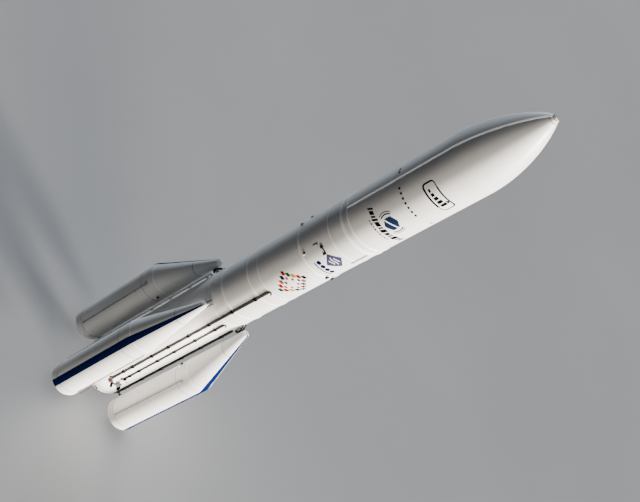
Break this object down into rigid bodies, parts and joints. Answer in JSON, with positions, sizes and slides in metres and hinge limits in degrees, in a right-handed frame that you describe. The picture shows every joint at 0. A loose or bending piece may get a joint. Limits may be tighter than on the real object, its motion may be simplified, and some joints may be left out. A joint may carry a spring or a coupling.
{
  "type": "space rocket with four side boosters, 1:2 scale model",
  "caption": "Tall launch rocket with a thick core, a long pointed fairing and slanted-nose side boosters, all nozzles steerable.",
  "frame": {"origin": "on the core's axis, in the plane of the booster skirts' lower rims, where the launch table holds them", "axes": "+Z along the rocket to the nose tip, -Y to the side with the two cable raceways, between two boosters"},
  "size_m": [5.1892, 5.1892, 31.8304],
  "materials": {
    "white_paint": "satin",
    "navy_paint": "satin",
    "dark_cover": "matt",
    "dark_fitting": "satin",
    "steel": "brushed",
    "nozzle_metal": "heat tinted",
    "nozzle_composite": "matt"
  },
  "bodies": {
    "root": {"core_aft_skirt": "white_paint", "raceway_long": "dark_cover", "raceway_short": "dark_cover", "raceway_side": "dark_cover", "raceway_back": "dark_cover", "feed_line": "white_paint", "vent_pipe": "steel", "hydrogen_tank": "white_paint", "intertank": "white_paint", "oxygen_tank": "white_paint", "forward_skirt": "white_paint", "interstage": "white_paint", "upper_stage_tank": "white_paint", "upper_stage_skirt": "white_paint", "payload_adapter_ring": "white_paint", "fairing_half_a": "white_paint", "fairing_half_b": "white_paint", "booster_1_aft_skirt": "white_paint", "booster_1_case": "white_paint", "booster_1_nose_cone": "white_paint", "booster_1_forward_fitting": "dark_fitting", "booster_1_aft_fitting": "dark_fitting", "booster_2_aft_skirt": "white_paint", "booster_2_case": "white_paint", "booster_2_nose_cone": "white_paint", "booster_2_forward_fitting": "dark_fitting", "booster_2_aft_fitting": "dark_fitting", "booster_3_aft_skirt": "white_paint", "booster_3_case": "white_paint", "booster_3_nose_cone": "white_paint", "booster_3_forward_fitting": "dark_fitting", "booster_3_aft_fitting": "dark_fitting", "booster_4_aft_skirt": "white_paint", "booster_4_case": "white_paint", "booster_4_nose_cone": "white_paint", "booster_4_forward_fitting": "dark_fitting", "booster_4_aft_fitting": "dark_fitting"},
    "engine_gimbal": {"engine_ring": "steel"},
    "engine": {"engine_nozzle": "nozzle_metal", "engine_block": "steel"},
    "booster_1_bearing": {"booster_1_bearing_ring": "steel"},
    "booster_1_nozzle": {"booster_1_nozzle": "nozzle_composite"},
    "booster_2_bearing": {"booster_2_bearing_ring": "steel"},
    "booster_2_nozzle": {"booster_2_nozzle": "nozzle_composite"},
    "booster_3_bearing": {"booster_3_bearing_ring": "steel"},
    "booster_3_nozzle": {"booster_3_nozzle": "nozzle_composite"},
    "booster_4_bearing": {"booster_4_bearing_ring": "steel"},
    "booster_4_nozzle": {"booster_4_nozzle": "nozzle_composite"}
  },
  "joints": [
    {"name": "engine_pitch", "type": "hinge", "parent": "root", "child": "engine_gimbal", "pos_m": [0, 0, 0.975], "axis": [1, 0, 0], "range_deg": [-6, 6]},
    {"name": "engine_yaw", "type": "hinge", "parent": "engine_gimbal", "child": "engine", "pos_m": [0, 0, 0.975], "axis": [0, 1, 0], "range_deg": [-6, 6]},
    {"name": "booster_1_nozzle_side", "type": "hinge", "parent": "root", "child": "booster_1_bearing", "pos_m": [-1.74302, -1.74302, 0.31], "axis": [-0.7071, -0.7071, 0], "range_deg": [-5.5, 5.5]},
    {"name": "booster_1_nozzle_out", "type": "hinge", "parent": "booster_1_bearing", "child": "booster_1_nozzle", "pos_m": [-1.74302, -1.74302, 0.31], "axis": [0.7071, -0.7071, 0], "range_deg": [-5.5, 5.5]},
    {"name": "booster_2_nozzle_side", "type": "hinge", "parent": "root", "child": "booster_2_bearing", "pos_m": [1.74302, -1.74302, 0.31], "axis": [0.7071, -0.7071, 0], "range_deg": [-5.5, 5.5]},
    {"name": "booster_2_nozzle_out", "type": "hinge", "parent": "booster_2_bearing", "child": "booster_2_nozzle", "pos_m": [1.74302, -1.74302, 0.31], "axis": [0.7071, 0.7071, 0], "range_deg": [-5.5, 5.5]},
    {"name": "booster_3_nozzle_side", "type": "hinge", "parent": "root", "child": "booster_3_bearing", "pos_m": [1.74302, 1.74302, 0.31], "axis": [0.7071, 0.7071, 0], "range_deg": [-5.5, 5.5]},
    {"name": "booster_3_nozzle_out", "type": "hinge", "parent": "booster_3_bearing", "child": "booster_3_nozzle", "pos_m": [1.74302, 1.74302, 0.31], "axis": [-0.7071, 0.7071, 0], "range_deg": [-5.5, 5.5]},
    {"name": "booster_4_nozzle_side", "type": "hinge", "parent": "root", "child": "booster_4_bearing", "pos_m": [-1.74302, 1.74302, 0.31], "axis": [-0.7071, 0.7071, 0], "range_deg": [-5.5, 5.5]},
    {"name": "booster_4_nozzle_out", "type": "hinge", "parent": "booster_4_bearing", "child": "booster_4_nozzle", "pos_m": [-1.74302, 1.74302, 0.31], "axis": [-0.7071, -0.7071, 0], "range_deg": [-5.5, 5.5]}
  ]
}
